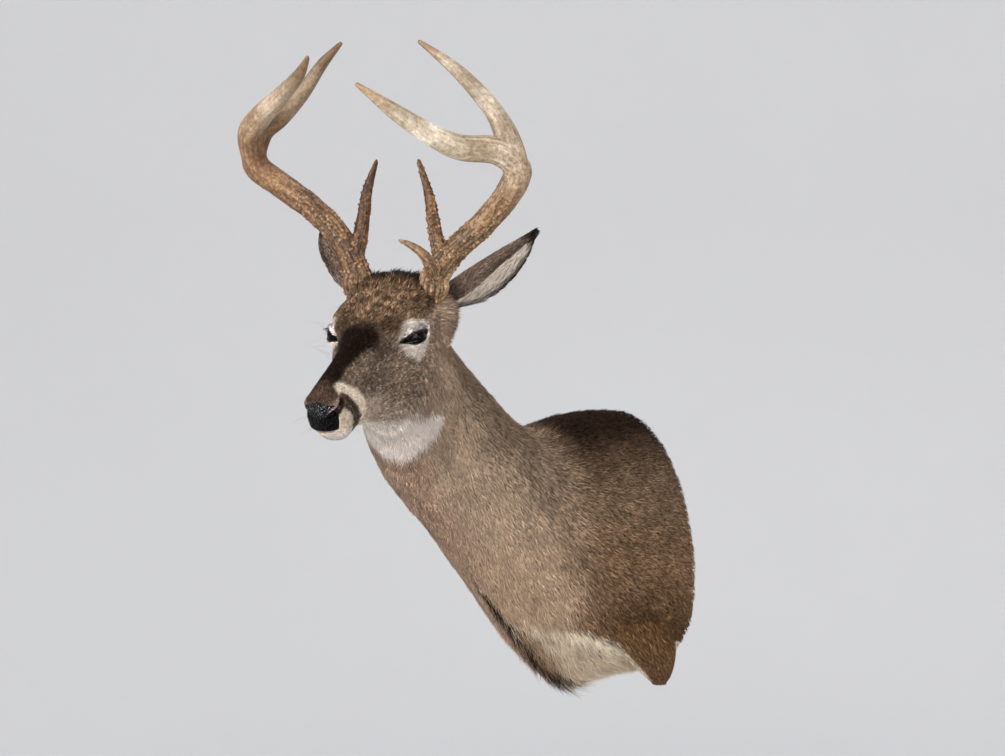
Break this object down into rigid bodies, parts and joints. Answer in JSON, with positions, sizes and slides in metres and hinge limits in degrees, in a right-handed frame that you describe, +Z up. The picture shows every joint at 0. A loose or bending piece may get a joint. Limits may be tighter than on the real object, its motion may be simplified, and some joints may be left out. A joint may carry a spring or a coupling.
{
  "type": "deer shoulder mount",
  "caption": "Life-size white-tailed deer buck shoulder mount, head turned to its left, with antlers and a recessed backboard, to hang on a wall.",
  "frame": {"origin": "middle of the backboard's rear face, on the wall", "axes": "+Z up, +Y into the wall, the deer looks out along -Y with its head turned to +X, which is its left"},
  "size_m": [0.4077, 0.6785, 0.9071],
  "materials": {
    "coat": "short grizzled grey-brown hair with white throat, muzzle band, eye rings and belly",
    "eye": "glossy near-black glass",
    "antler": "hard antler, pearled chestnut base to pale polished tips, satin",
    "board": "raw plywood"
  },
  "bodies": {
    "root": {"trunk": "coat", "neck": "coat", "head": "coat", "ear_left": "coat", "ear_right": "coat", "foreleg_left": "coat", "foreleg_right": "coat", "eye_left": "eye", "eye_right": "eye", "antler_left_beam": "antler", "antler_left_main": "antler", "antler_left_second": "antler", "antler_left_brow": "antler", "antler_left_kicker": "antler", "antler_right_beam": "antler", "antler_right_main": "antler", "antler_right_second": "antler", "antler_right_brow": "antler", "backboard": "board"}
  },
  "joints": []
}
